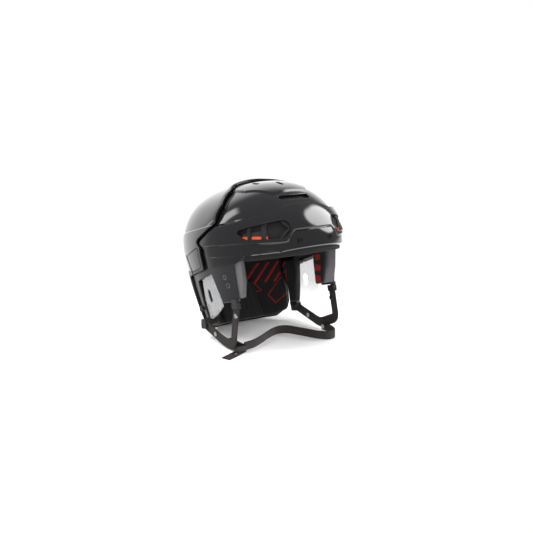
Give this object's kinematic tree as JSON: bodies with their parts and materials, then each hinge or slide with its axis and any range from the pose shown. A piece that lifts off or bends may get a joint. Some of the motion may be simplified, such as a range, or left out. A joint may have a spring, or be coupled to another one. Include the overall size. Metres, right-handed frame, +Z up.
{
  "type": "ice hockey helmet",
  "caption": "Ice hockey helmet: two-piece black shell with side latches, foam liner, ear guards, strap clips and chin webbing.",
  "frame": {"origin": "centre of the overall box at its lowest level, on the floor the helmet rests on with its front raised", "axes": "+X the wearer's left, -Y the front, +Z up. The helmet's own level is turned 12 degrees about X, the brow up"},
  "size_m": [0.2156, 0.2728, 0.2355],
  "materials": {
    "shell": "high gloss",
    "latch_plastic": "semi gloss",
    "frame_plastic": "matte",
    "clear_plastic": "clear, polished",
    "liner": "matte foam",
    "temple_foam": "matte foam",
    "nape_foam": "matte foam",
    "vent_foam": "matte foam",
    "webbing": "woven",
    "dark_metal": "satin black",
    "steel": "brushed",
    "snap_metal": "polished"
  },
  "bodies": {
    "front": {"front_shell": "shell", "brow_pad": "liner", "crown_pad": "liner", "brow_screws": "dark_metal", "brow_nuts": "steel", "right_latch_track": "frame_plastic", "right_vent_grille": "frame_plastic", "right_vent_pad": "vent_foam", "right_side_pad": "liner", "right_temple_pad": "temple_foam", "right_ear_guard": "clear_plastic", "right_ear_guard_rivets": "steel", "right_temple_inserts": "steel", "right_anchor_screw": "dark_metal", "right_front_clip": "frame_plastic", "right_rear_clip": "frame_plastic", "right_side_strap": "webbing", "right_strap_snaps": "snap_metal", "left_latch_track": "frame_plastic", "left_vent_grille": "frame_plastic", "left_vent_pad": "vent_foam", "left_side_pad": "liner", "left_temple_pad": "temple_foam", "left_ear_guard": "clear_plastic", "left_ear_guard_rivets": "steel", "left_temple_inserts": "steel", "left_anchor_screw": "dark_metal", "left_front_clip": "frame_plastic", "left_rear_clip": "frame_plastic", "left_side_strap": "webbing", "left_strap_snaps": "snap_metal", "chin_strap": "webbing", "chin_slider": "frame_plastic", "chin_tail": "webbing", "chin_stud": "snap_metal", "chin_snap": "snap_metal"},
    "rear": {"rear_shell": "shell", "rear_liner": "liner", "occipital_pad": "nape_foam", "right_latch_pin": "steel", "left_latch_pin": "steel"},
    "right_latch": {"right_latch": "latch_plastic"},
    "left_latch": {"left_latch": "latch_plastic"}
  },
  "joints": [
    {"name": "size_slide", "type": "slide", "parent": "front", "child": "rear", "axis": [0, 0.9781, -0.2079], "range_m": [0, 0.02]},
    {"name": "right_latch_flip", "type": "hinge", "parent": "rear", "child": "right_latch", "pos_m": [-0.09234, 0.04388, 0.11098], "axis": [0.0186, -0.5943, -0.804], "range_deg": [0, 75]},
    {"name": "left_latch_flip", "type": "hinge", "parent": "rear", "child": "left_latch", "pos_m": [0.09879, 0.04388, 0.11098], "axis": [0.0186, 0.5943, 0.804], "range_deg": [0, 75]}
  ]
}
